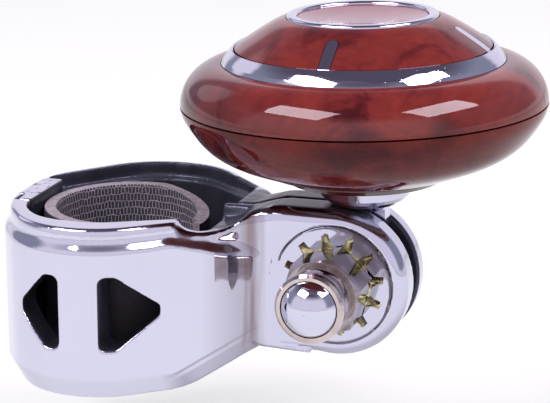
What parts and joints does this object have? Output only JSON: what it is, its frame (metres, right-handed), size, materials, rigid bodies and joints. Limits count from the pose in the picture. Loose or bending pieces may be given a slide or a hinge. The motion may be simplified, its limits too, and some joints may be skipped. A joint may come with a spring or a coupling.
{
  "type": "steering wheel spinner knob",
  "caption": "folding steering wheel spinner knob: burl-look swivel knob on a friction pivot, with a chromed clamp ring lined with mesh rubber",
  "frame": {"origin": "middle of the clamp bore, half way up the ring", "axes": "+Z along the clamp bore, up to the side where the folded knob lies; +X from the bore to the pivot bolt; Y along the bolt, its nut towards -Y"},
  "size_m": [0.097, 0.064, 0.0667],
  "materials": {
    "chromed_casting": "polished chrome plate on zinc casting",
    "chromed_steel": "polished chrome plate on steel",
    "strip_rubber": "matte, fine raised mesh",
    "zinc_steel": "bright zinc plate",
    "nickel_steel": "warm nickel plate",
    "yellow_zinc": "yellow passivated zinc plate",
    "nylon": "natural nylon",
    "bearing_steel": "ground steel",
    "burl_plastic": "glossy red burl wood look",
    "dark_plastic": "glossy dark maroon",
    "plated_plastic": "chrome plated plastic",
    "inlay_plastic": "glossy rose brown"
  },
  "bodies": {
    "clamp": {"clamp_front_half": "chromed_casting", "clamp_rear_half": "chromed_casting", "rim_liner": "strip_rubber", "pivot_bolt": "zinc_steel", "pivot_nut": "nickel_steel", "nut_locking_ring": "nylon", "nut_dome_cap": "nickel_steel", "front_tooth_washer": "yellow_zinc", "rear_tooth_washer": "yellow_zinc", "front_friction_washer": "nylon", "rear_friction_washer": "nylon"},
    "stem": {"stem": "chromed_steel", "bearing_inner_race": "bearing_steel", "end_washer": "zinc_steel", "end_screw": "zinc_steel"},
    "knob": {"bearing_outer_race": "bearing_steel", "bearing_balls": "bearing_steel", "bearing_shields": "bearing_steel", "bearing_snap_ring": "bearing_steel", "knob_lower_shell": "burl_plastic", "knob_boss": "dark_plastic", "knob_upper_shell": "burl_plastic", "shell_screws": "zinc_steel", "trim_ring": "plated_plastic", "dome_cover": "burl_plastic", "cap_ring": "plated_plastic", "cap_inlay": "inlay_plastic"}
  },
  "joints": [
    {"name": "knob_tilt", "type": "hinge", "parent": "clamp", "child": "stem", "pos_m": [0.04, 0, 0.004], "axis": [0, 1, 0], "range_deg": [0, 91.4]},
    {"name": "knob_spin", "type": "hinge", "parent": "stem", "child": "knob", "pos_m": [0.04339, 0, 0.02909], "axis": [-0.0244, 0, 0.9997], "continuous": true}
  ]
}
